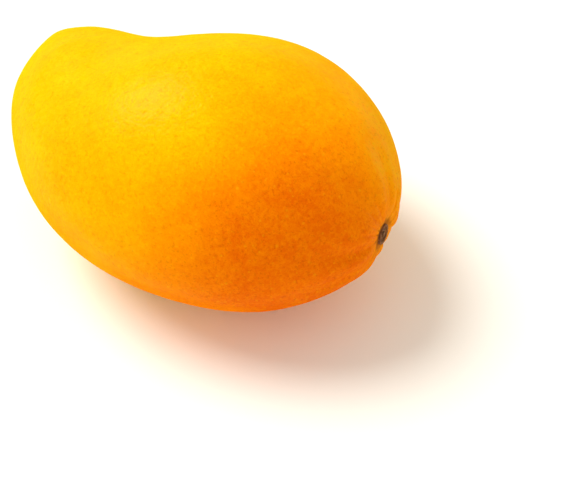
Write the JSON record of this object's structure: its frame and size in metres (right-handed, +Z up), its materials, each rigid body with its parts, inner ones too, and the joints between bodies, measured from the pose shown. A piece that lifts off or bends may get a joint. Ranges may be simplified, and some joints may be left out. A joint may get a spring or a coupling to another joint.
{
  "type": "mango",
  "caption": "Whole ripe mango, as picked, lying on one cheek: smooth golden skin turning orange, a small beak with a hollow beside it, and a puckered stalk end.",
  "frame": {"origin": "on the surface that the fruit lies on, under the middle of its bounding box", "axes": "+X towards the stalk end, +Y towards the belly side with the beak, +Z up, from the lower cheek to the upper"},
  "size_m": [0.112, 0.08, 0.063],
  "materials": {
    "skin": "satin ripe skin, golden yellow deepening to orange towards the stalk end, with fine pale pores"
  },
  "bodies": {
    "root": {"fruit": "skin"}
  },
  "joints": []
}
